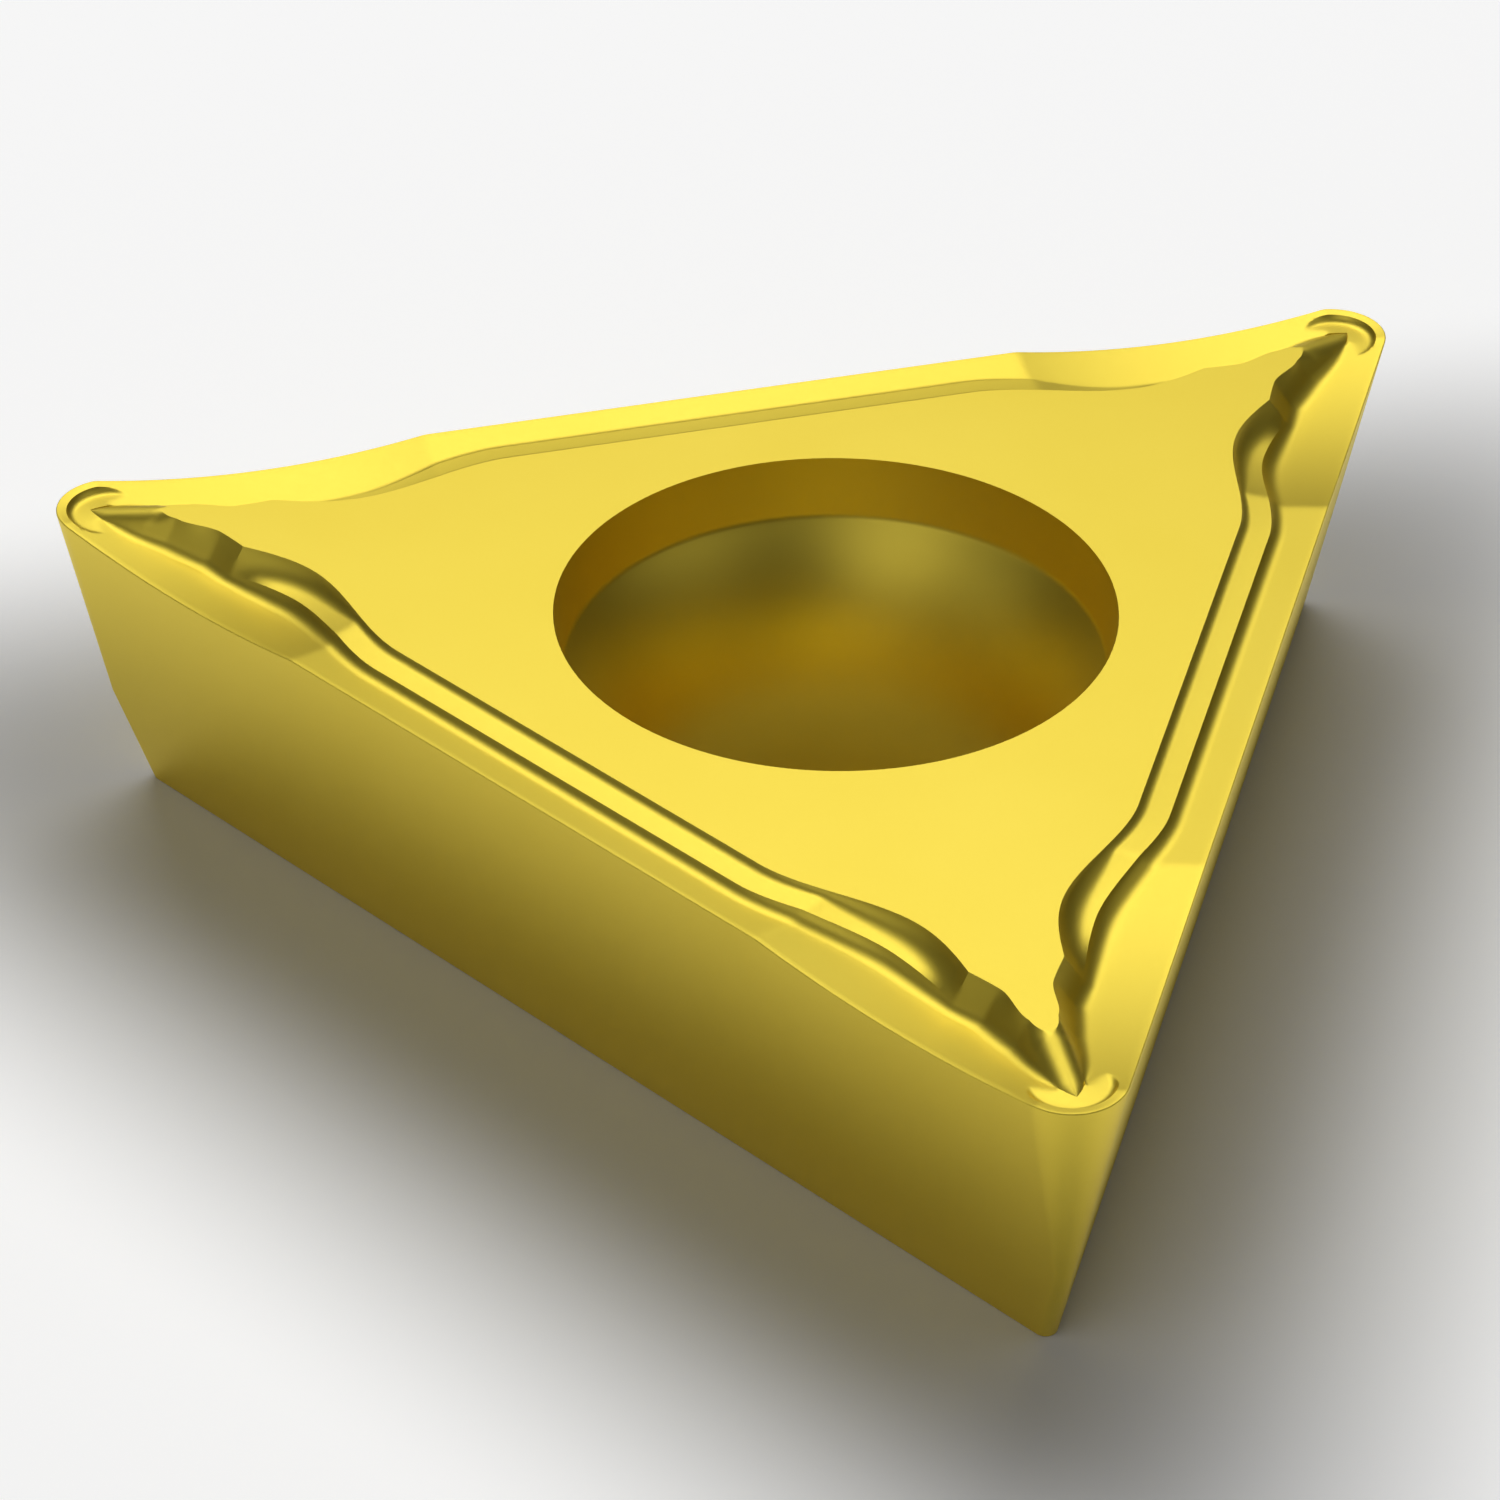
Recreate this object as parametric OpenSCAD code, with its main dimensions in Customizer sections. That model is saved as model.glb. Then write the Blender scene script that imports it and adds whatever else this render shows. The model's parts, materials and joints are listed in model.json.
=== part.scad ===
// Triangular turning insert of cemented carbide, pressed and sintered as one piece.
// The origin is on the axis of the screw hole, on the seating face. One nose points along -Y.
// Places round a corner are given by "back", the distance from the nose centre along the side,
// and by the distance inward from the side, because a pressed corner keeps its form on any size.

/* [Body] */
// Diameter of the circle that touches the three sides at the cutting edge
ic_d = 6.35; // [6:0.05:12.7]
// Thickness from the seating face to the cutting edge
thickness = 2.38; // [2.1:0.01:4.8]
// Clearance angle of the flanks, in degrees
clearance = 11; // [5:0.5:15]
// Radius of the nose at the cutting edge
nose_r = 0.4; // [0.3:0.05:0.8]
// Smallest radius that the narrowing corner keeps down to the seating face
foot_r = 0.085; // [0.05:0.005:0.2]

/* [Screw hole] */
// Diameter of the straight bore
bore_d = 2.8; // [2.2:0.05:3.2]
// Radius of the rounded seat that the screw head bears on
seat_r = 2.1; // [1.2:0.05:4]
// Diameter at the top of the rounded seat
seat_top_d = 3.96; // [3.6:0.02:4.04]
// Diameter of the mouth at the island
mouth_d = 4.07; // [4.04:0.01:4.2]
// Depth of the steep mouth wall
mouth_depth = 0.48; // [0.2:0.02:0.8]
// Radius of the fillet between the mouth wall and the seat
mouth_fillet = 0.1; // [0.04:0.01:0.2]

/* [Cutting edge] */
// How far the edge dips below its level
edge_dip = 0.1; // [0.02:0.01:0.15]
// Where the dip starts, back from the nose centre
dip_start = 2.47; // [1.8:0.01:2.9]
// How far the dip runs on round the nose
dip_overrun = 0.055; // [0:0.005:0.1]
// Fall of the land behind the edge, in degrees
land_rake = 9; // [5:0.5:12]

/* [Island] */
// Height of the flat island above the cutting edge
island_rise = 0.05; // [0.02:0.01:0.2]
// Distance from the side to the island where it is straight
island_in = 0.575; // [0.5:0.005:0.62]
// Where the first scallop starts, back from the nose centre
scallop_start = 3; // [2.8:0.05:3.3]
// Where the first scallop is deepest
scallop_back = 1.77; // [1.6:0.01:1.95]
// Distance from the side to the bottom of the first scallop
scallop_in = 0.843; // [0.75:0.005:0.95]
// Where the point between the two scallops is
cusp_back = 1.17; // [1.1:0.01:1.3]
// Distance from the side to the point between the scallops
cusp_in = 0.696; // [0.62:0.002:0.74]
// Where the second scallop is deepest
second_back = 0.91; // [0.8:0.01:1]
// Distance from the side to the bottom of the second scallop
second_in = 0.708; // [0.66:0.002:0.76]
// Where the neck of the island's tongue starts
neck_back = 0.54; // [0.5:0.01:0.65]
// Distance from the side to the neck of the tongue
neck_in = 0.597; // [0.57:0.002:0.63]
// Where the tongue ends on the line that halves the corner
tongue_back = 0.34; // [0.28:0.01:0.42]
// How far the tongue's end swells beyond a straight taper
tongue_swell = 0.02; // [0:0.002:0.03]

/* [Chip grooves] */
// Width of the upper groove, from the ridge to the island, on the straight
straight_w = 0.223; // [0.17:0.001:0.25]
// Width of the upper groove in the first scallop
scallop_w = 0.228; // [0.16:0.001:0.25]
// Width of the wall at the point between the scallops
cusp_w = 0.136; // [0.1:0.001:0.16]
// Width of the wall in the second scallop
second_w = 0.125; // [0.1:0.001:0.15]
// Width of the wall beside the neck
neck_w = 0.097; // [0.08:0.001:0.12]
// Half width of the rounded nose ridge where it leaves the tongue
ridge_w = 0.175; // [0.12:0.005:0.19]
// Half width of the nose ridge beside the nose centre
ridge_nose_w = 0.1; // [0.05:0.005:0.12]
// Half width of the nose ridge at its end
ridge_tip_w = 0.03; // [0.02:0.005:0.04]
// Height of the ridge above the cutting edge beside it
crest_lift = 0.005; // [-0.01:0.001:0.015]
// Slope under the island's rim on the straight, in degrees
straight_slope = 50; // [40:1:60]
// Slope under the island's rim in the first scallop, in degrees
scallop_slope = 66; // [50:1:70]
// Slope of the wall from the point between the scallops to the neck, in degrees
wall_slope = 52; // [44:1:58]
// Slope of the groove's bottom where it meets the ridge, in degrees
ridge_back_slope = 3; // [0:1:8]
// Slope of the ridge towards the edge on the straight, in degrees
straight_face_slope = 50; // [40:1:60]
// Slope of the ridge towards the edge in the first scallop, in degrees
ridge_face_slope = 60; // [50:1:64]
// Slope of the nose ridge's side beside the nose centre, in degrees
nose_side_slope = 32; // [20:1:40]
// Slope of the nose ridge's side at its end, in degrees
tip_side_slope = 20; // [12:1:28]

/* [Nose] */
// How far the nose ridge runs past the nose centre
ridge_reach = 0.13; // [0.08:0.005:0.16]
// Depth of the ridge's end below the cutting edge
ridge_end_depth = 0.052; // [0.03:0.002:0.08]
// Width of the land left in front of the crescent groove
crescent_land = 0.078; // [0.05:0.002:0.1]
// Width of the crescent groove's outer wall
crescent_wall = 0.07; // [0.04:0.002:0.09]
// Fall of the crescent groove's floor from the ridge's end to the wall, in degrees
crescent_fall = 3.5; // [1:0.5:8]

/* [Hidden] */

in_r = ic_d / 2;
island_z = thickness + island_rise;
side_end = (in_r - nose_r) * sqrt(3);
ridge_z = thickness - ridge_end_depth;
crescent_r = nose_r - crescent_land;
floor_r = crescent_r - crescent_wall;

// Shares that keep the rings of a section in order where the corner gets narrow
wall_share = 0.8;
groove_share = 0.48;
crescent_rim_share = 0.5;
crescent_floor_share = 0.85;
crescent_tail = 0.6;
// Least height of a wall's foot above the land, which the crescent groove cuts away
least_lift = 0.01;
// Least and most of the level part of a groove's bottom, and the slopes taken as equal
least_flat = 0.1;
most_flat = 0.8;
same_slope = 0.01;

// Counts of facets along and across the pressed face
scallop_steps = 9;
wave_steps = 6;
neck_steps = 4;
ridge_steps = 4;
nose_steps = 6;
groove_steps = 4;
wall_steps = 5;
crescent_steps = 3;
// Number of the crest in a section, inside which the crescent groove cuts nothing
crest_ring = crescent_steps + 2 + groove_steps;

// Inside radius of the side and corner radius at height z, and the nose centre there
function side_in(z) = in_r - (thickness - z) * tan(clearance);
function corner_r(z) = max(foot_r, nose_r - (thickness - z) * tan(clearance));
function corner_x(z) = (side_in(z) - corner_r(z)) * sqrt(3);
function corner_y(z) = corner_r(z) - side_in(z);
// Height where the corner stops narrowing
knee_z = max(0.05, thickness - (nose_r - foot_r) / tan(clearance));

// The edge dips along one flat arc
dip_half = (dip_start + dip_overrun) / 2;
dip_mid = dip_start - dip_half;
dip_r = (dip_half ^ 2 + edge_dip ^ 2) / (2 * edge_dip);
function dip(back) =
    let (d = abs(back - dip_mid))
    d < dip_half ? sqrt(dip_r ^ 2 - d ^ 2) - dip_r + edge_dip : 0;

// A smooth step between two key places, flat at both, and half of one that ends in a point
function ease(u) = u * u * (3 - 2 * u);
function bow(u) = 1 - cos(90 * u);
function mix(v0, v1, u) = v0 + (v1 - v0) * u;
function part(x, x0, x1) = max(0, min(1, (x - x0) / (x1 - x0)));

// Distance from the side to the line that halves the corner
function halving(back) = nose_r + back * tan(30);

// Distance from the side to the island's rim, then to the nose ridge
function rim_in(back) =
    back > scallop_back
    ? mix(island_in, scallop_in, ease(part(back, scallop_start, scallop_back)))
    : back > cusp_back
    ? mix(scallop_in, cusp_in, bow(part(back, scallop_back, cusp_back)))
    : back > second_back
    ? mix(second_in, cusp_in, bow(part(back, second_back, cusp_back)))
    : back > neck_back
    ? mix(second_in, neck_in, ease(part(back, second_back, neck_back)))
    : back > tongue_back
    ? let (u = part(back, neck_back, tongue_back))
      mix(neck_in, halving(tongue_back), u) - tongue_swell * sin(180 * u)
    : halving(back);

// A value of the section along the corner, from its values at the key places
function along(back, straight, scallop, cusp, second, neck, tongue, nose, end) =
    back > scallop_back
    ? mix(straight, scallop, ease(part(back, scallop_start, scallop_back)))
    : back > cusp_back
    ? mix(scallop, cusp, bow(part(back, scallop_back, cusp_back)))
    : back > second_back
    ? mix(cusp, second, part(back, cusp_back, second_back))
    : back > neck_back
    ? mix(second, neck, ease(part(back, second_back, neck_back)))
    : back > tongue_back
    ? mix(neck, tongue, part(back, neck_back, tongue_back))
    : back > 0
    ? mix(tongue, nose, part(back, tongue_back, 0))
    : mix(nose, end, part(-back, 0, ridge_reach * cos(30)));

// The nose ridge falls evenly from the tongue to its end
ridge_run = tongue_back / cos(30) + ridge_reach;
ridge_fall = (island_z - ridge_z) / ridge_run;
function rim_z(back) =
    back > tongue_back ? island_z : island_z - ridge_fall * (tongue_back - back) / cos(30);

// The wall's foot runs straight past the neck: its distance from the side, and below the island
function past_neck(back, second, neck, tongue) =
    back > neck_back
    ? mix(second, neck, part(back, second_back, neck_back))
    : mix(neck, tongue, part(back, neck_back, tongue_back));
function is_past_neck(back) = back > tongue_back && back < second_back;
function foot_in(back) =
    past_neck(back, second_in - second_w, neck_in - neck_w, halving(tongue_back) - ridge_w);
function foot_depth(back) =
    past_neck(back, second_w * tan(wall_slope), neck_w * tan(wall_slope),
              ridge_w * tan((wall_slope + atan(ridge_fall)) / 2));

// Width and slopes of the wall or upper groove below the rim, and the share of wall in it
function wall_w(back) =
    is_past_neck(back)
    ? rim_in(back) - foot_in(back)
    : along(back, straight_w, scallop_w, cusp_w, second_w, neck_w,
            ridge_w, ridge_nose_w, ridge_tip_w);
function top_slope(back) =
    along(back, straight_slope, scallop_slope, wall_slope, wall_slope, wall_slope,
          atan(ridge_fall), atan(ridge_fall / 2), atan(ridge_fall / 2));
function foot_slope(back) =
    along(back, ridge_back_slope, ridge_back_slope, wall_slope, wall_slope, wall_slope,
          wall_slope, nose_side_slope, tip_side_slope);
function face_slope(back) =
    along(back, straight_face_slope, ridge_face_slope, wall_slope, wall_slope, wall_slope,
          wall_slope, nose_side_slope, tip_side_slope);
function walled(back) = along(back, 0, 0, 1, 1, 1, 1, 1, 1);

// A point at share u of the arc that leaves p at slope a and reaches q at slope b
function on_arc(p, q, a, b, u) =
    let (turn = (b - a) / 2)
    let (share = abs(turn) < 0.01 ? u : sin(turn * u) / sin(turn))
    p + norm(q - p) * share * [cos(a + turn * u), sin(a + turn * u)];

// Crescent groove round the nose: its height at distance r from the nose centre
crescent_rise = thickness - crescent_land * tan(land_rake) - ridge_z
    + (floor_r - ridge_reach) * tan(crescent_fall);
crescent_arc = (crescent_wall ^ 2 + crescent_rise ^ 2) / (2 * crescent_rise);
function crescent_z(r) =
    let (floor_z = ridge_z - (min(r, floor_r) - ridge_reach) * tan(crescent_fall))
    let (d = max(0, r - floor_r))
    r >= crescent_r ? island_z : floor_z + crescent_arc - sqrt(crescent_arc ^ 2 - d ^ 2);

// Where the crescent groove's rim and floor cross a section, from the edge inward
function crescent_in(back, r) =
    nose_r - sqrt(max(0, r ^ 2 - min(max(back, 0), crescent_tail * crescent_r) ^ 2));

// One section of the top, as points [distance, height] from the edge inward over length run
function section(back, run, edge_z) =
    let (rim = [run, rim_z(back)])
    let (w = min(wall_w(back), run * wall_share))
    let (ts = top_slope(back), bs = foot_slope(back), fs = face_slope(back))
    let (fall = w * tan((ts + bs) / 2))
    let (depth = is_past_neck(back) ? foot_depth(back) : fall)
    let (crest = rim - [w, mix(rim.y - edge_z - crest_lift, depth, walled(back))])
    let (bend = tan((ts + bs) / 2) - tan(bs))
    let (flat = abs(bend) < same_slope ? 0 : (fall - rim.y + crest.y) / bend)
    let (toe = crest + max(least_flat * w, min(most_flat * w, flat)) * [1, tan(bs)])
    let (rs = 2 * atan((rim.y - toe.y) / (rim.x - toe.x)) - bs)
    let (land_z = edge_z - crest.x * tan(land_rake))
    let (lift = max(least_lift, crest.y - land_z))
    let (t = min(lift / (sin(fs) + cos(fs) * tan(land_rake)), groove_share * crest.x))
    let (heel_x = crest.x - t * (cos(fs) + cos(land_rake)))
    let (heel = [heel_x, edge_z - heel_x * tan(land_rake)])
    let (c0 = min(crescent_in(back, crescent_r), crescent_rim_share * heel_x))
    let (c1 = min(crescent_in(back, floor_r), crescent_floor_share * heel_x))
    concat(
        [[0, edge_z]],
        [for (i = [0:crescent_steps])
            let (x = mix(c0, c1, i / crescent_steps))
            [x, edge_z - x * tan(land_rake)]],
        [for (i = [0:groove_steps - 1]) on_arc(heel, crest, -land_rake, fs, i / groove_steps)],
        [crest],
        [for (i = [0:wall_steps]) on_arc(toe, rim, bs, rs, i / wall_steps)]
    );

// A rung runs from the seating face up the flank and over the top to the rim or nose ridge.
// The side lies along X here, with the middle of the side at x = 0.
function lower(back, turn, z) =
    back > 0
    ? [corner_x(z) * (1 - back / side_end), -side_in(z), z]
    : [corner_x(z) + corner_r(z) * sin(turn), corner_y(z) - corner_r(z) * cos(turn), z];
function rung(back, turn) =
    let (on_ridge = -ridge_reach * cos(30) * turn / 60)
    let (b = back > 0 ? back : on_ridge)
    let (edge_z = thickness - dip(back > 0 ? back : -nose_r * turn * PI / 180))
    let (edge = lower(back, turn, edge_z))
    let (rim = [side_end - b, rim_in(b) - in_r])
    let (way = rim - [edge.x, edge.y])
    let (run = norm(way))
    let (nose = [side_end, nose_r - in_r])
    let (top = section(b, run, edge_z))
    concat(
        [lower(back, turn, 0), lower(back, turn, knee_z)],
        [for (j = [0:crest_ring + 1 + wall_steps])
            let (at = [edge.x, edge.y] + way * top[j].x / run)
            let (cut = j < crest_ring && b <= tongue_back)
            [at.x, at.y, cut ? min(top[j].y, crescent_z(norm(at - nose))) : top[j].y]]
    );

// Places of the rungs, from the end of the straight to the nose
backs = concat(
    [for (i = [0:scallop_steps - 1]) mix(scallop_start, scallop_back, i / scallop_steps)],
    [for (i = [0:wave_steps - 1]) mix(scallop_back, cusp_back, i / wave_steps)],
    [for (i = [0:wave_steps - 1]) mix(cusp_back, neck_back, i / wave_steps)],
    [for (i = [0:neck_steps - 1]) mix(neck_back, tongue_back, i / neck_steps)],
    [for (i = [0:ridge_steps - 1]) mix(tongue_back, 0, i / ridge_steps)]
);
half = concat(
    [for (b = backs) rung(b, 0)],
    [for (i = [0:nose_steps]) rung(0, 60 * i / nose_steps)]
);

tip_at = len(backs) - ridge_steps;
last = len(half) - 1;
rings = len(half[0]);
rungs_side = 2 * last + 1;
rungs_all = 3 * rungs_side;

function flip(rung) = [for (p = rung) [-p.x, p.y, p.z]];
function spin(p, a) = [p.x * cos(a) - p.y * sin(a), p.x * sin(a) + p.y * cos(a), p.z];
side = concat([for (i = [last - 1:-1:0]) flip(half[i])], half);
blank_points = concat(
    [for (k = [0:2]) for (r = side) for (p = r) spin(p, 60 + 120 * k)],
    [[0, 0, 0], [0, 0, island_z]]
);

// Place of a rung in its half side, and the number of a point, where doubled points share one
function place(g) = let (p = g % rungs_side) p < last ? last - 1 - p : p - last;
function is_flipped(g) = g % rungs_side < last;
function point_at(g, j) =
    let (i = place(g))
    j == rings - 1 && is_flipped(g) && i >= tip_at
    ? ((g - 2 * (last - i) + rungs_all) % rungs_all) * rings + j
    : g * rings + j;
function proper(f) = f[0] != f[1] && f[1] != f[2] && f[2] != f[0];

skin_faces = [
    for (g = [0:rungs_all - 1])
        let (h = (g + 1) % rungs_all)
        for (j = [0:rings - 2])
            let (a = point_at(g, j), b = point_at(h, j), c = point_at(h, j + 1), d = point_at(g, j + 1))
            for (f = is_flipped(g) ? [[a, d, b], [b, d, c]] : [[a, c, b], [a, d, c]])
                if (proper(f)) f
];
cap_faces = [
    for (g = [0:rungs_all - 1])
        let (h = (g + 1) % rungs_all)
        for (f = [
            [point_at(g, 0), point_at(h, 0), rungs_all * rings],
            if (place(g) <= tip_at && place(h) <= tip_at)
                [point_at(h, rings - 1), point_at(g, rings - 1), rungs_all * rings + 1]
        ])
            if (proper(f)) f
];

// The screw hole: a straight bore, a rounded seat, a fillet and a steep mouth
bore_r = bore_d / 2;
seat_z = island_z - mouth_depth;
seat_turn = acos(1 - (seat_top_d / 2 - bore_r) / seat_r);
bore_top = seat_z - seat_r * sin(seat_turn);
seat_centre = [bore_r + seat_r, bore_top];
mouth_foot = [seat_top_d / 2, seat_z];
mouth_lean = atan((mouth_d - seat_top_d) / 2 / mouth_depth);
over = 0.5;

// The fillet touches the mouth wall and the seat's arc from the side of the axis
wall_way = [sin(mouth_lean), cos(mouth_lean)];
wall_out = [cos(mouth_lean), -sin(mouth_lean)];
to_seat = seat_centre - mouth_foot + mouth_fillet * wall_out;
fillet_up = wall_way * to_seat
    + sqrt((seat_r + mouth_fillet) ^ 2 - to_seat * to_seat + (wall_way * to_seat) ^ 2);
fillet_centre = mouth_foot - mouth_fillet * wall_out + fillet_up * wall_way;
fillet_start = atan2(seat_centre.y - fillet_centre.y, seat_centre.x - fillet_centre.x);
fillet_turn = -mouth_lean - fillet_start;
fillet_steps = 4;
fillet_bite = 0.01;
function fillet_point(u, r) =
    fillet_centre + r * [cos(fillet_start + fillet_turn * u), sin(fillet_start + fillet_turn * u)];
fillet_foot = fillet_point(0, mouth_fillet + fillet_bite);

module screw_hole() {
    translate([0, 0, -over])
        cylinder(r = bore_r, h = bore_top + 2 * over, $fn = 96);
    rotate_extrude($fn = 96)
        difference() {
            polygon(concat(
                [[0, bore_top], [fillet_foot.x, bore_top], fillet_foot],
                [for (i = [1:fillet_steps]) fillet_point(i / fillet_steps, mouth_fillet)],
                [mouth_foot + wall_way * (mouth_depth + over), [0, island_z + over]]
            ));
            translate(seat_centre)
                circle(r = seat_r, $fn = 192);
        }
}

module insert() {
    color([0.86, 0.74, 0.24])
        difference() {
            polyhedron(points = blank_points, faces = concat(skin_faces, cap_faces));
            screw_hole();
        }
}

insert();
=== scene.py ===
import json
import math

import bmesh
import bpy
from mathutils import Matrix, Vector


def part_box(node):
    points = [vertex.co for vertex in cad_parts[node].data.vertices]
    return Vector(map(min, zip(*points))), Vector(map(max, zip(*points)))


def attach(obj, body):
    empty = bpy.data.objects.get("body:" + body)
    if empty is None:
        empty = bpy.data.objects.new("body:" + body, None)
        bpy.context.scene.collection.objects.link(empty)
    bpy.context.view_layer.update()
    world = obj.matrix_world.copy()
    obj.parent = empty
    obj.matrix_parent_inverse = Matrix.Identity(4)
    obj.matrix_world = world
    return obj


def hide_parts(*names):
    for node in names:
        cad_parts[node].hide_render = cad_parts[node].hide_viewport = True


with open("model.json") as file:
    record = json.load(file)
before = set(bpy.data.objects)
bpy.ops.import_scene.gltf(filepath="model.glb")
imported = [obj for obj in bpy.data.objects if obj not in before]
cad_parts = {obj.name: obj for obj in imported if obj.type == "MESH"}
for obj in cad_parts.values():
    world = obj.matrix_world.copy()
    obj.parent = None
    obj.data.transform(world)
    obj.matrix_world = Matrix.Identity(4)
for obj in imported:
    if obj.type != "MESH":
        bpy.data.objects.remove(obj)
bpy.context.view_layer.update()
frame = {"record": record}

# The view
# A long lens 42 mm away, a little to the left of the front nose and 35 degrees above the table,
# so that the chip-breaking face, the screw hole and the front left flank all show.
MM = 0.001
lens_azimuth = math.radians(-15.007)
lens_height = math.radians(34.973)
lens_distance = 42.057 * MM
lens_angle = math.radians(15.119)
lens_near = 1 * MM
lens_far = 2000 * MM
aim = Vector((-0.4527, 0.6973, 0.7953)) * MM

camera_data = bpy.data.cameras.new("photo_view")
camera_data.angle = lens_angle
camera_data.clip_start = lens_near
camera_data.clip_end = lens_far
camera = bpy.data.objects.new("photo_view", camera_data)
bpy.context.scene.collection.objects.link(camera)
backward = Vector((
    math.sin(lens_azimuth) * math.cos(lens_height),
    -math.cos(lens_azimuth) * math.cos(lens_height),
    math.sin(lens_height),
))
camera.location = aim + backward * lens_distance
camera.rotation_euler = (-backward).to_track_quat("-Z", "Y").to_euler()
bpy.context.scene.camera = camera


# The insert
# One triangular blank of tungsten carbide powder, pressed with its chip-breaking face, sintered,
# honed along its cutting edges and coated with gold titanium nitride. Its sizes are in millimetres,
# and places round a corner are given by "back", the distance from the nose centre along the side.
far_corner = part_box("insert")[1]
bore = next(m for m in frame["record"]["mounts"] if m["name"] == "screw_bore")
corners = 3
half_corner = math.pi / corners / 2
half_nose = math.pi / 2 - half_corner

# The blank has sides that lean in below the cutting edge, and noses that narrow to a small foot
clearance = math.radians(11)
nose_r = 0.4
foot_r = 0.085
island_rise = 0.05
island_z = far_corner.z / MM
thickness = island_z - island_rise
in_r = (far_corner.x / MM - nose_r) * math.tan(half_corner) + nose_r
side_end = (in_r - nose_r) / math.tan(half_corner)
knee_z = thickness - (nose_r - foot_r) / math.tan(clearance)


def side_in(z):
    return in_r - (thickness - z) * math.tan(clearance)


def corner_r(z):
    return max(foot_r, nose_r - (thickness - z) * math.tan(clearance))


def on_flank(back, turn, z):
    """A point of the flank at height z, or of the nose cone where turn is above 0."""
    x = (side_in(z) - corner_r(z)) / math.tan(half_corner)
    y = corner_r(z) - side_in(z)
    if back > 0:
        return Vector((x * (1 - back / side_end), -side_in(z), z))
    return Vector((x + corner_r(z) * math.sin(turn), y - corner_r(z) * math.cos(turn), z))


# The cutting edge dips along each side
edge_dip = 0.1
dip_start = 2.47
dip_overrun = 0.055


def dip(back):
    """How far the cutting edge lies below its level, along one flat arc."""
    half = (dip_start + dip_overrun) / 2
    radius = (half ** 2 + edge_dip ** 2) / (2 * edge_dip)
    off = abs(back - dip_start + half)
    return math.sqrt(radius ** 2 - off ** 2) - radius + edge_dip if off < half else 0.0


# The island's rim runs straight, then in two scallops with a cusp between, a neck and a tongue
island_in = 0.575
scallop_start, scallop_back, scallop_in = 3, 1.77, 0.843
cusp_back, cusp_in = 1.17, 0.696
second_back, second_in = 0.91, 0.708
neck_back, neck_in = 0.54, 0.597
tongue_back = 0.34
tongue_swell = 0.02


def part(x, x0, x1):
    """How far x has come from x0 to x1, held between 0 and 1."""
    return max(0.0, min(1.0, (x - x0) / (x1 - x0)))


def mix(v0, v1, u):
    return v0 + (v1 - v0) * u


def ease(u):
    """From 0 to 1, level at both ends."""
    return u * u * (3 - 2 * u)


def bow(u):
    """From 0 to 1, level at 0 only, as beside a cusp."""
    return 1 - math.cos(math.pi / 2 * u)


def halving(back):
    """Distance from the side to the line that halves the corner."""
    return nose_r + back * math.tan(half_corner)


def rim_in(back):
    """Distance from the side to the island's rim, then to the nose ridge."""
    if back > scallop_back:
        return mix(island_in, scallop_in, ease(part(back, scallop_start, scallop_back)))
    if back > cusp_back:
        return mix(scallop_in, cusp_in, bow(part(back, scallop_back, cusp_back)))
    if back > second_back:
        return mix(second_in, cusp_in, bow(part(back, second_back, cusp_back)))
    if back > neck_back:
        return mix(second_in, neck_in, ease(part(back, second_back, neck_back)))
    if back > tongue_back:
        u = part(back, neck_back, tongue_back)
        return mix(neck_in, halving(tongue_back), u) - tongue_swell * math.sin(math.pi * u)
    return halving(back)


# The nose ridge falls from the tongue's tip to a point past the nose centre
ridge_reach = 0.13
ridge_end_depth = 0.052
ridge_z = thickness - ridge_end_depth
ridge_run = tongue_back / math.cos(half_corner) + ridge_reach
ridge_fall = (island_z - ridge_z) / ridge_run


def rim_z(back):
    lower = max(0.0, tongue_back - back) / math.cos(half_corner)
    return island_z - ridge_fall * lower


# The wall below the rim: its width in plan and its slopes, from the straight side to the ridge
straight_w, scallop_w, cusp_w, second_w, neck_w = 0.223, 0.228, 0.136, 0.125, 0.097
ridge_w, ridge_nose_w, ridge_tip_w = 0.175, 0.1, 0.03
straight_slope = math.radians(50)
scallop_slope = math.radians(66)
wall_slope = math.radians(52)
ridge_slope = math.atan(ridge_fall)
ridge_nose_slope = math.atan(ridge_fall / 2)
ridge_back_slope = math.radians(3)
straight_face_slope = math.radians(50)
ridge_face_slope = math.radians(60)
nose_side_slope = math.radians(32)
tip_side_slope = math.radians(20)


def along(back, straight, scallop, cusp, second, neck, tongue, nose, end):
    """A value of the section along the corner, from its values at the key places."""
    if back > scallop_back:
        return mix(straight, scallop, ease(part(back, scallop_start, scallop_back)))
    if back > cusp_back:
        return mix(scallop, cusp, bow(part(back, scallop_back, cusp_back)))
    if back > second_back:
        return mix(cusp, second, part(back, cusp_back, second_back))
    if back > neck_back:
        return mix(second, neck, ease(part(back, second_back, neck_back)))
    if back > tongue_back:
        return mix(neck, tongue, part(back, neck_back, tongue_back))
    if back > 0:
        return mix(tongue, nose, part(back, tongue_back, 0))
    return mix(nose, end, part(-back, 0, ridge_reach * math.cos(half_corner)))


def past_neck(back, second, neck, tongue):
    """A value of the wall's foot, which runs straight past the neck to the tongue."""
    if back > neck_back:
        return mix(second, neck, part(back, second_back, neck_back))
    return mix(neck, tongue, part(back, neck_back, tongue_back))


def foot_in(back):
    return past_neck(back, second_in - second_w, neck_in - neck_w, halving(tongue_back) - ridge_w)


def foot_depth(back):
    wall = math.tan(wall_slope)
    ridge = math.tan((wall_slope + ridge_slope) / 2)
    return past_neck(back, second_w * wall, neck_w * wall, ridge_w * ridge)


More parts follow.
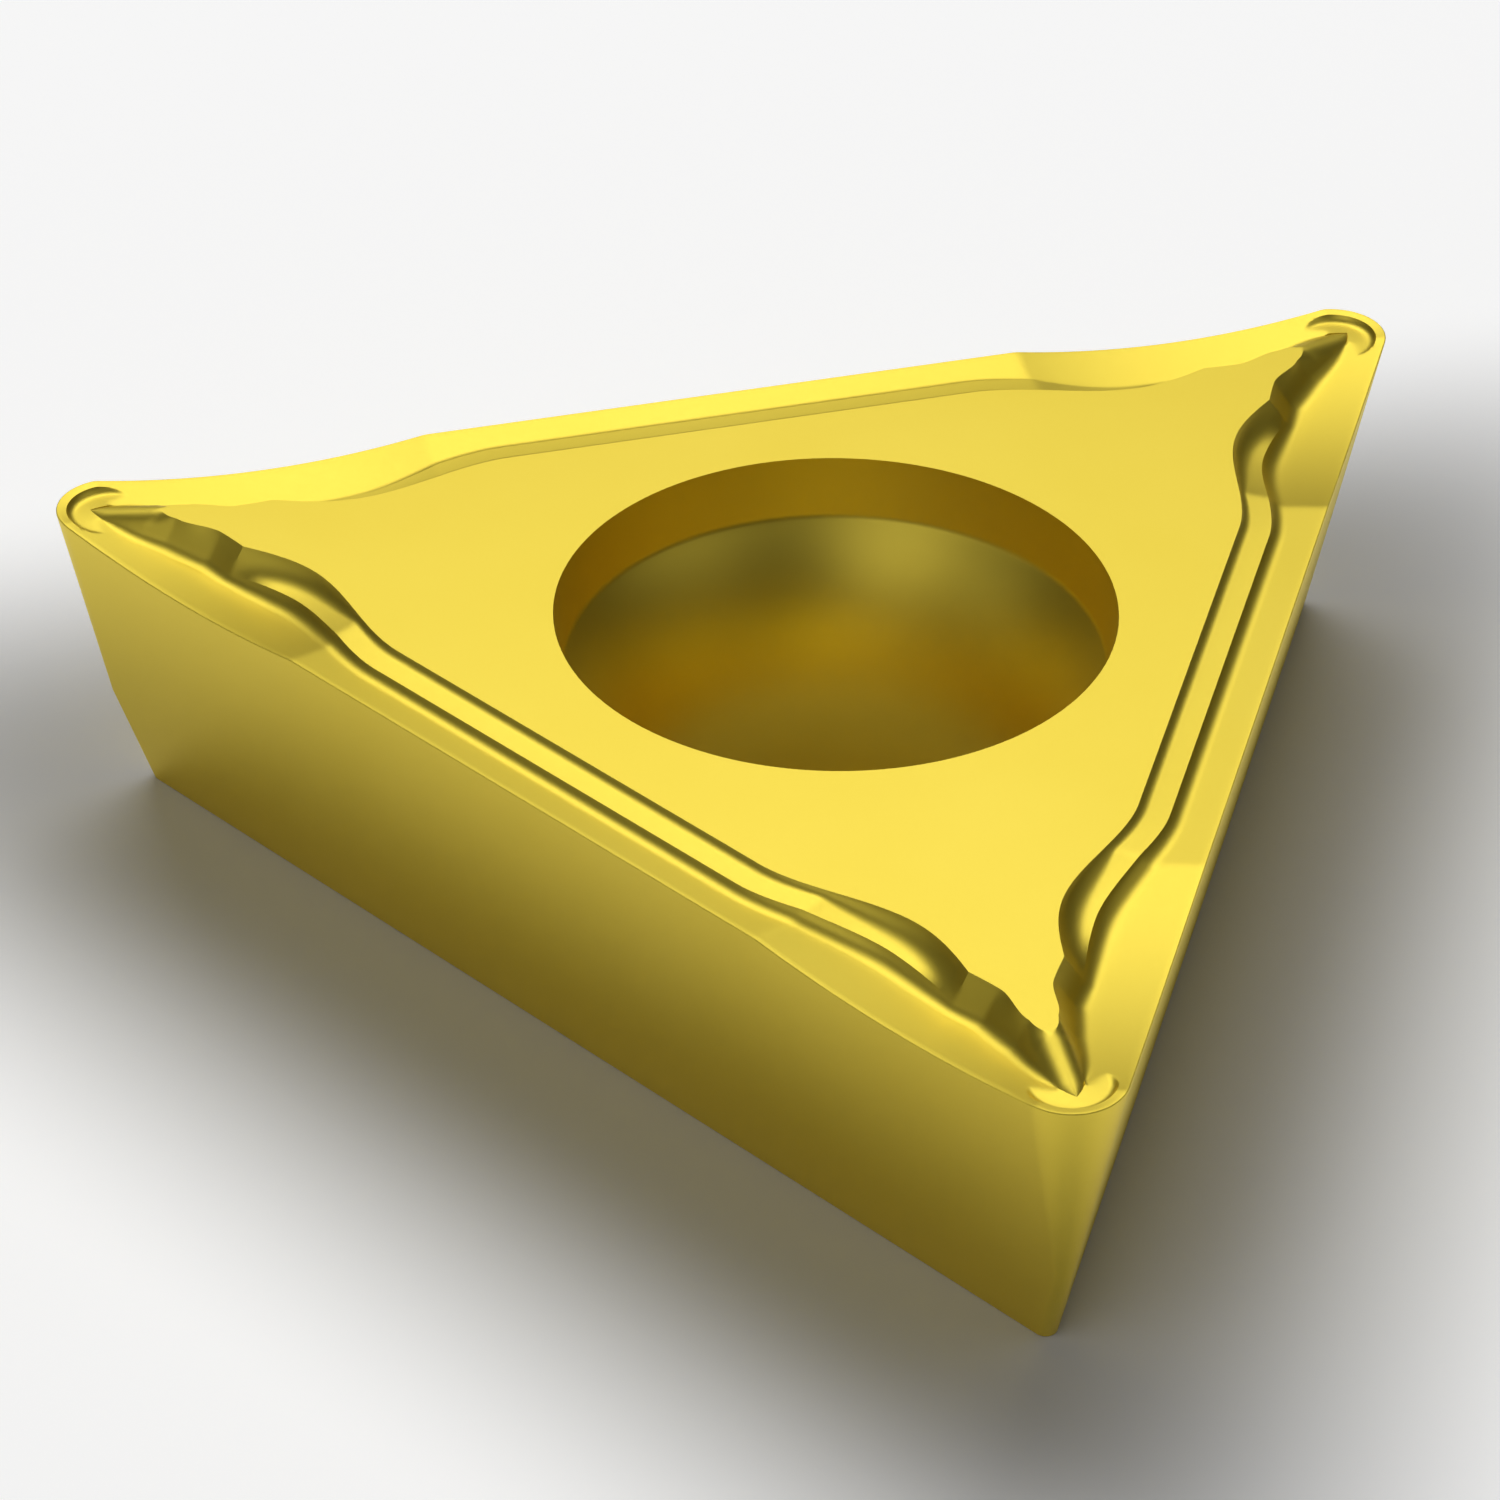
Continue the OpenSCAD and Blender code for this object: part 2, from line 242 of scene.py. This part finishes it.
# A crescent groove is pressed round the nose, between the land and the ridge
land_rake = math.radians(9)
nose_land_w, crescent_side_w = 0.078, 0.07
crescent_r = nose_r - nose_land_w
floor_r = crescent_r - crescent_side_w
crescent_fall = math.radians(3.5)
crescent_tail_share = 0.6
crescent_tail = crescent_tail_share * crescent_r


def crescent_z(r):
    """Height of the crescent groove at distance r from the nose centre."""
    if r >= crescent_r:
        return island_z
    fall = math.tan(crescent_fall)
    rise = thickness - (nose_r - crescent_r) * math.tan(land_rake) - ridge_z
    rise += (floor_r - ridge_reach) * fall
    width = crescent_r - floor_r
    bend = (width ** 2 + rise ** 2) / (2 * rise)
    off = max(0.0, r - floor_r)
    return ridge_z - (min(r, floor_r) - ridge_reach) * fall + bend - math.sqrt(bend ** 2 - off ** 2)


def crescent_in(back, r):
    """Distance from the edge to the circle of radius r round the nose centre."""
    tail = min(max(back, 0), crescent_tail)
    return nose_r - math.sqrt(max(0, r ** 2 - tail ** 2))


# Shares and least sizes keep the lines of a section in order where the corner gets narrow
wall_share, groove_share = 0.8, 0.48
crescent_rim_share, crescent_floor_share = 0.5, 0.85
least_lift, least_flat, most_flat = 0.01, 0.1, 0.8
same_slope = 0.01
same_angle = 0.0001
hone = 0.017
crest_lift = 0.005
land_steps = 3
crescent_steps = 7
groove_steps = 9
wall_steps = 10
crest_place = 2 * land_steps + crescent_steps + groove_steps


def arc(p, q, a, b, u):
    """The point at share u of the arc that leaves p at slope a and reaches q at slope b."""
    turn = (b - a) / 2
    share = u if abs(turn) < same_angle else math.sin(turn * u) / math.sin(turn)
    way = Vector((math.cos(a + turn * u), math.sin(a + turn * u)))
    return p + (q - p).length * share * way


def section(back, run, edge_z):
    """One section of the pressed face: distances from the edge and heights, over length run."""
    rim = Vector((run, rim_z(back)))
    w = along(back, straight_w, scallop_w, cusp_w, second_w, neck_w,
              ridge_w, ridge_nose_w, ridge_tip_w)
    is_past_neck = tongue_back < back < second_back
    w = min(rim_in(back) - foot_in(back) if is_past_neck else w, run * wall_share)
    top = along(back, straight_slope, scallop_slope, wall_slope, wall_slope, wall_slope,
                ridge_slope, ridge_nose_slope, ridge_nose_slope)
    foot = along(back, ridge_back_slope, ridge_back_slope, wall_slope, wall_slope, wall_slope,
                 wall_slope, nose_side_slope, tip_side_slope)
    face = along(back, straight_face_slope, ridge_face_slope, wall_slope, wall_slope, wall_slope,
                 wall_slope, nose_side_slope, tip_side_slope)
    rake = math.tan(land_rake)
    fall = w * math.tan((top + foot) / 2)
    walled = along(back, 0, 0, 1, 1, 1, 1, 1, 1)
    depth = foot_depth(back) if is_past_neck else fall
    crest = rim - Vector((w, mix(rim.y - edge_z - crest_lift, depth, walled)))
    bend = fall / w - math.tan(foot)
    flat = (fall - rim.y + crest.y) / bend if abs(bend) > same_slope else 0
    flat = max(least_flat * w, min(most_flat * w, flat))
    toe = crest + flat * Vector((1, math.tan(foot)))
    top = 2 * math.atan((rim.y - toe.y) / (rim.x - toe.x)) - foot
    lift = max(least_lift, crest.y - edge_z + crest.x * rake)
    reach = min(lift / (math.sin(face) + math.cos(face) * rake), groove_share * crest.x)
    heel_x = crest.x - reach * (math.cos(face) + math.cos(land_rake))
    heel = Vector((heel_x, edge_z - heel_x * rake))
    c0 = min(crescent_in(back, crescent_r), crescent_rim_share * heel_x)
    c1 = min(crescent_in(back, floor_r), crescent_floor_share * heel_x)
    xs = [mix(hone, c0, i / land_steps) for i in range(land_steps)]
    xs += [mix(c0, c1, i / crescent_steps) for i in range(crescent_steps)]
    xs += [mix(c1, heel_x, i / land_steps) for i in range(land_steps)]
    points = [Vector((x, edge_z - x * rake)) for x in xs]
    points += [arc(heel, crest, -land_rake, face, i / groove_steps) for i in range(groove_steps)]
    points += [crest] + [arc(toe, rim, foot, top, i / wall_steps) for i in range(wall_steps + 1)]
    return points


# A rung is one line of points over the outside of half a side
foot_break = 0.012
break_steps = 3
hone_steps = 4
nose = Vector((side_end, nose_r - in_r))


def rounded(p, corner, q, steps):
    """Points of a small rounding from p to q round a sharp corner."""
    us = [i / steps for i in range(steps)]
    return [p * (1 - u) ** 2 + corner * 2 * u * (1 - u) + q * u ** 2 for u in us]


def rung(back, turn):
    """Points from the seating face up the flank and over the land to the rim or the ridge."""
    on_ridge = -ridge_reach * math.cos(half_corner) * turn / half_nose
    b = back if back > 0 else on_ridge
    edge_z = thickness - dip(back if back > 0 else -nose_r * turn)
    edge = on_flank(back, turn, edge_z)
    rim = Vector((side_end - b, rim_in(b) - in_r))
    way = rim - edge.xy
    run = way.length
    way.normalize()
    top = []
    for i, p in enumerate(section(b, run, edge_z)):
        at = edge.xy + way * p.x
        is_cut = i < crest_place and b <= tongue_back
        z = min(p.y, crescent_z((at - nose).length)) if is_cut else p.y
        top.append(Vector((at.x, at.y, z)))
    foot = on_flank(back, turn, 0)
    inward = foot.xy + way * foot_break
    upward = on_flank(back, turn, foot_break)
    points = rounded(Vector((inward.x, inward.y, 0)), foot, upward, break_steps)
    points += [upward, on_flank(back, turn, knee_z)]
    points += rounded(on_flank(back, turn, edge_z - hone), edge, top[0], hone_steps)
    return points + top


def spread(v0, v1, steps):
    return [mix(v0, v1, i / steps) for i in range(steps)]


# The rungs stand closest together where the rim bends most
side_steps, scallop_steps, cusp_steps, neck_steps, tongue_steps = 14, 34, 22, 24, 10
ridge_steps = 14
nose_steps = 18
backs = spread(side_end, scallop_start, side_steps)
backs += spread(scallop_start, scallop_back, scallop_steps)
backs += spread(scallop_back, cusp_back, cusp_steps)
backs += spread(cusp_back, neck_back, neck_steps)
backs += spread(neck_back, tongue_back, tongue_steps)
tongue_rung = len(backs)
backs += spread(tongue_back, 0, ridge_steps)
rungs = [rung(back, 0) for back in backs]
rungs += [rung(0, half_nose * i / nose_steps) for i in range(nose_steps + 1)]

# The screw hole is turned about the axis: a steep mouth, a fillet, a rounded seat and the bore
bore_r = bore["dims"]["r_mm"]
bore_top = bore["dims"]["length_mm"]
seat_r = 2.1
mouth_r, mouth_foot_r, mouth_depth, mouth_fillet = 2.035, 1.98, 0.48, 0.1
mouth_foot = Vector((mouth_foot_r, island_z - mouth_depth))
lean = math.atan((mouth_r - mouth_foot.x) / mouth_depth)
wall_way = Vector((math.sin(lean), math.cos(lean)))
wall_out = Vector((math.cos(lean), -math.sin(lean)))
seat_centre = Vector((bore_r + seat_r, bore_top))
to_seat = seat_centre - mouth_foot + mouth_fillet * wall_out
level = wall_way.dot(to_seat)
climb = level + math.sqrt((seat_r + mouth_fillet) ** 2 - to_seat.length_squared + level ** 2)
fillet_centre = mouth_foot - mouth_fillet * wall_out + climb * wall_way
fillet_end = math.atan2(*reversed(seat_centre - fillet_centre))


def on_circle(centre, radius, angle):
    return centre + radius * Vector((math.cos(angle), math.sin(angle)))


mouth_steps, fillet_steps, seat_steps, bore_steps = 3, 6, 22, 3
mouth_edge = Vector((mouth_r, island_z))
fillet_top = on_circle(fillet_centre, mouth_fillet, -lean)
hole_profile = spread(mouth_edge, fillet_top, mouth_steps)
hole_profile += [on_circle(fillet_centre, mouth_fillet, a)
                 for a in spread(-lean, fillet_end, fillet_steps)]
hole_profile += [on_circle(seat_centre, seat_r, a)
                 for a in spread(fillet_end + math.pi, math.pi, seat_steps)]
hole_profile += spread(Vector((bore_r, bore_top)), Vector((bore_r, 0)), bore_steps)
hole_profile.append(Vector((bore_r, 0)))

# Each rung that reaches the island goes on over it and down the hole to the seating face
margin = 0.02
for line in rungs[:tongue_rung + 1]:
    ray = line[-1].xy.normalized()
    reach = line[-1].xy.length
    over = [Vector((reach - margin, island_z)), Vector((mouth_r + margin, island_z))]
    line += [Vector((*(ray * p.x), p.y)) for p in over + hole_profile]

# Past the tongue the rungs end on the ridge, and the seating face there fans out from the bore
mesh = bpy.data.meshes.new("half_side")
build = bmesh.new()
grid = [[build.verts.new(p * MM) for p in line] for line in rungs]
bore_foot = grid[tongue_rung][-1]
for near, far in zip(grid, grid[1:]):
    count = min(len(near), len(far))
    for j in range(count - 1):
        build.faces.new((near[j], far[j], far[j + 1], near[j + 1]))
    if len(far) > len(grid[-1]):
        build.faces.new((near[-1], far[-1], far[0], near[0]))
    else:
        build.faces.new((bore_foot, far[0], near[0]))
bmesh.ops.recalc_face_normals(build, faces=build.faces)
build.to_mesh(mesh)
build.free()
half_side = bpy.data.objects.new("half_side", mesh)
bpy.context.scene.collection.objects.link(half_side)


def add(tree, kind, settings=None, **links):
    """Adds a node. A link names an input, or its number after an i: a socket or a value."""
    node = tree.nodes.new(kind)
    for name, value in (settings or {}).items():
        setattr(node, name, value)
    for name, value in links.items():
        place = int(name[1:]) if name[1:].isdigit() else name.replace("_", " ")
        if isinstance(value, bpy.types.NodeSocket):
            tree.links.new(value, node.inputs[place])
        else:
            node.inputs[place].default_value = value
    return node


def linear(code):
    """The linear colour of an sRGB hex code, by the constants of the sRGB curve."""
    parts = [int(code[i:i + 2], 16) / 255 for i in (1, 3, 5)]
    return [c / 12.92 if c <= 0.04045 else ((c + 0.055) / 1.055) ** 2.4 for c in parts] + [1.0]


def per_mm(size):
    """Scale of a pattern whose features are size millimetres apart."""
    return 1 / (size * MM)


# Titanium nitride over sintered carbide: a warm gold metal, satin because the pressed and sintered
# skin under the coating keeps its fine grain, with a slight drift of tone from the coating furnace.
# The grain is drawn at 0.03 mm, some ten times its real size, so that it shows at all.
def coated_carbide():
    drift_mm, grain_mm, grain_depth_mm = 1.6, 0.03, 0.002
    drift_detail, grain_detail = 2.0, 3.0
    smooth_skin, rough_skin = 0.42, 0.5
    grain_strength = 0.05
    material = bpy.data.materials.new("titanium_nitride_on_carbide")
    material.use_nodes = True
    tree = material.node_tree
    tree.nodes.clear()
    place = add(tree, "ShaderNodeTexCoord").outputs["Object"]
    drift = add(tree, "ShaderNodeTexNoise", Vector=place, Scale=per_mm(drift_mm),
                Detail=drift_detail)
    grain = add(tree, "ShaderNodeTexNoise", Vector=place, Scale=per_mm(grain_mm),
                Detail=grain_detail)
    colour = add(tree, "ShaderNodeMix", {"data_type": "RGBA"}, i0=drift.outputs["Fac"],
                 i6=linear("#F7DE50"), i7=linear("#FCE45A"))
    rough = add(tree, "ShaderNodeMapRange", Value=grain.outputs["Fac"],
                To_Min=smooth_skin, To_Max=rough_skin)
    bump = add(tree, "ShaderNodeBump", Height=grain.outputs["Fac"], Strength=grain_strength,
               Distance=grain_depth_mm * MM)
    gold = add(tree, "ShaderNodeBsdfPrincipled", Base_Color=colour.outputs[2], Metallic=1.0,
               Roughness=rough.outputs[0], Normal=bump.outputs[0])
    add(tree, "ShaderNodeOutputMaterial", Surface=gold.outputs[0])
    return material


# The pressed half side is mirrored, and the whole side is repeated round the bore
def repeat_round_bore():
    tree = bpy.data.node_groups.new("repeat_round_bore", "GeometryNodeTree")
    sides = tree.interface
    sides.new_socket("Half side", in_out="INPUT", socket_type="NodeSocketGeometry")
    sides.new_socket("Corners", in_out="INPUT", socket_type="NodeSocketInt")
    sides.new_socket("First turn", in_out="INPUT", socket_type="NodeSocketFloat")
    sides.new_socket("Coating", in_out="INPUT", socket_type="NodeSocketMaterial")
    sides.new_socket("Insert", in_out="OUTPUT", socket_type="NodeSocketGeometry")
    given = add(tree, "NodeGroupInput").outputs
    mirrored = add(tree, "GeometryNodeTransform", Geometry=given["Half side"], Scale=(-1, 1, 1))
    flipped = add(tree, "GeometryNodeFlipFaces", Mesh=mirrored.outputs[0])
    whole = add(tree, "GeometryNodeJoinGeometry")
    tree.links.new(given["Half side"], whole.inputs[0])
    tree.links.new(flipped.outputs[0], whole.inputs[0])
    centres = add(tree, "GeometryNodePoints", Count=given["Corners"])
    step = add(tree, "ShaderNodeMath", {"operation": "DIVIDE"}, i0=math.tau, i1=given["Corners"])
    index = add(tree, "GeometryNodeInputIndex")
    turn = add(tree, "ShaderNodeMath", {"operation": "MULTIPLY_ADD"},
               i0=index.outputs[0], i1=step.outputs[0], i2=given["First turn"])
    euler = add(tree, "ShaderNodeCombineXYZ", Z=turn.outputs[0])
    rotation = add(tree, "FunctionNodeEulerToRotation", Euler=euler.outputs[0])
    placed = add(tree, "GeometryNodeInstanceOnPoints", Points=centres.outputs[0],
                 Instance=whole.outputs[0], Rotation=rotation.outputs[0])
    real = add(tree, "GeometryNodeRealizeInstances", Geometry=placed.outputs[0])
    coated = add(tree, "GeometryNodeSetMaterial", Geometry=real.outputs[0],
                 Material=given["Coating"])
    add(tree, "NodeGroupOutput", Insert=coated.outputs[0])
    return tree


repeat = half_side.modifiers.new("repeat", "NODES")
repeat.node_group = repeat_round_bore()
inputs = {item.name: item.identifier for item in repeat.node_group.interface.items_tree
          if item.in_out == "INPUT"}
repeat[inputs["Corners"]] = corners
repeat[inputs["First turn"]] = math.pi / corners
repeat[inputs["Coating"]] = coated_carbide()
depsgraph = bpy.context.evaluated_depsgraph_get()
insert_mesh = bpy.data.meshes.new_from_object(half_side.evaluated_get(depsgraph))
half_side.modifiers.remove(repeat)
bpy.data.objects.remove(half_side)

# The six half sides are welded into one closed skin, with its real edges kept crisp
weld = 0.0004 * MM
crisp = math.radians(18)
join = bmesh.new()
join.from_mesh(insert_mesh)
bmesh.ops.remove_doubles(join, verts=join.verts, dist=weld)
bmesh.ops.dissolve_degenerate(join, edges=join.edges, dist=weld)
bmesh.ops.recalc_face_normals(join, faces=join.faces)
join.to_mesh(insert_mesh)
join.free()
insert_mesh.shade_smooth()
insert_mesh.set_sharp_from_angle(angle=crisp)
insert = bpy.data.objects.new("coated_insert", insert_mesh)
bpy.context.scene.collection.objects.link(insert)
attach(insert, "root")
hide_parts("insert")


# The table
# A sheet of matt white board, laid a hair below the seating face. Its glow makes it look white to
# the camera and in the metal, and lights nothing else. Towards the insert the glow fades to
# nothing, by a rounded triangle. That is a painted shadow round the insert, laid over the lamps'
# own soft shadow, and it also gives the flanks a darker board to mirror.
table_half = 300 * MM
table_gap = 0.001 * MM


def white_board():
    # Sizes in millimetres of the painted shadow, measured in the rounded triangle: no glow within
    # the first, full glow beyond the second
    painted_shadow_inner, painted_shadow_outer = 3.4, 6.8
    roundness = 4.0
    full_glow = 0.6
    material = bpy.data.materials.new("white_board")
    material.use_nodes = True
    tree = material.node_tree
    tree.nodes.clear()
    spot = add(tree, "ShaderNodeTexCoord").outputs["Object"]
    total = 0.0
    for side in range(corners):
        a = math.tau * side / corners + math.pi / 2
        outward = (math.cos(a) / MM, math.sin(a) / MM, 0)
        off = add(tree, "ShaderNodeVectorMath", {"operation": "DOT_PRODUCT"}, i0=spot, i1=outward)
        off = add(tree, "ShaderNodeMath", {"operation": "MAXIMUM"}, i0=off.outputs["Value"], i1=0.0)
        off = add(tree, "ShaderNodeMath", {"operation": "POWER"}, i0=off.outputs[0], i1=roundness)
        off = add(tree, "ShaderNodeMath", {"operation": "ADD"}, i0=off.outputs[0], i1=total)
        total = off.outputs[0]
    reach = add(tree, "ShaderNodeMath", {"operation": "POWER"}, i0=total, i1=1 / roundness)
    # Painted shadow: the glow is cut back near the insert in a rounded triangle, whatever the lamps
    # do
    glow_outside_painted_shadow = add(tree, "ShaderNodeMapRange", {"interpolation_type": "SMOOTHSTEP"},
                     Value=reach.outputs[0], From_Min=painted_shadow_inner, From_Max=painted_shadow_outer,
                     To_Max=full_glow)
    path = add(tree, "ShaderNodeLightPath").outputs
    seen = add(tree, "ShaderNodeMath", {"operation": "MAXIMUM"},
               i0=path["Is Camera Ray"], i1=path["Is Glossy Ray"])
    seen = add(tree, "ShaderNodeMath", {"operation": "MAXIMUM"},
               i0=seen.outputs[0], i1=path["Is Transmission Ray"])
    glow = add(tree, "ShaderNodeMath", {"operation": "MULTIPLY"},
               i0=seen.outputs[0], i1=glow_outside_painted_shadow.outputs[0])
    paper = add(tree, "ShaderNodeBsdfDiffuse", Color=linear("#EBEBEB"))
    light = add(tree, "ShaderNodeEmission", Color=linear("#FFFFFF"), Strength=glow.outputs[0])
    both = add(tree, "ShaderNodeAddShader", i0=paper.outputs[0], i1=light.outputs[0])
    add(tree, "ShaderNodeOutputMaterial", Surface=both.outputs[0])
    return material


table_mesh = bpy.data.meshes.new("table")
table_corners = [(-1, -1), (1, -1), (1, 1), (-1, 1)]
table_mesh.from_pydata([(x * table_half, y * table_half, -table_gap) for x, y in table_corners],
                       [], [(0, 1, 2, 3)])
table = bpy.data.objects.new("table", table_mesh)
bpy.context.scene.collection.objects.link(table)
table_mesh.materials.append(white_board())


# The lights
# Soft boxes in a dim studio. The strong one behind, which the face mirrors, gives the bright gold.
# Three weaker ones, at the left front, the far left and the right front, open up the dark parts.
def soft_box(name, azimuth, height, distance, width, depth, radiance):
    """Angles are in degrees and sizes in millimetres; a radiance of 1 looks white."""
    data = bpy.data.lights.new(name, "AREA")
    data.shape = "RECTANGLE"
    data.size = width * MM
    data.size_y = depth * MM
    data.energy = radiance * math.pi * data.size * data.size_y
    lamp = bpy.data.objects.new(name, data)
    a, h = math.radians(azimuth), math.radians(height)
    way = Vector((math.cos(a) * math.cos(h), math.sin(a) * math.cos(h), math.sin(h)))
    lamp.location = way * distance * MM
    lamp.rotation_euler = way.to_track_quat("Z", "Y").to_euler()
    lamp.visible_camera = False
    bpy.context.scene.collection.objects.link(lamp)


lamp_distance = 120
soft_box("rear_soft_box", 79, 52, lamp_distance, width=90, depth=80, radiance=2.05)
soft_box("left_soft_box", 225, 45, lamp_distance, width=80, depth=80, radiance=0.8)
soft_box("far_left_soft_box", 180, 28, lamp_distance, width=60, depth=60, radiance=0.3)
soft_box("right_soft_box", 330, 50, lamp_distance, width=80, depth=80, radiance=0.4)

room_strength = 0.02
world = bpy.data.worlds.new("dim_studio")
bpy.context.scene.world = world
world.use_nodes = True
room = world.node_tree.nodes["Background"].inputs
room["Color"].default_value = linear("#FFFFFF")
room["Strength"].default_value = room_strength

bpy.context.scene.view_settings.view_transform = "Standard"
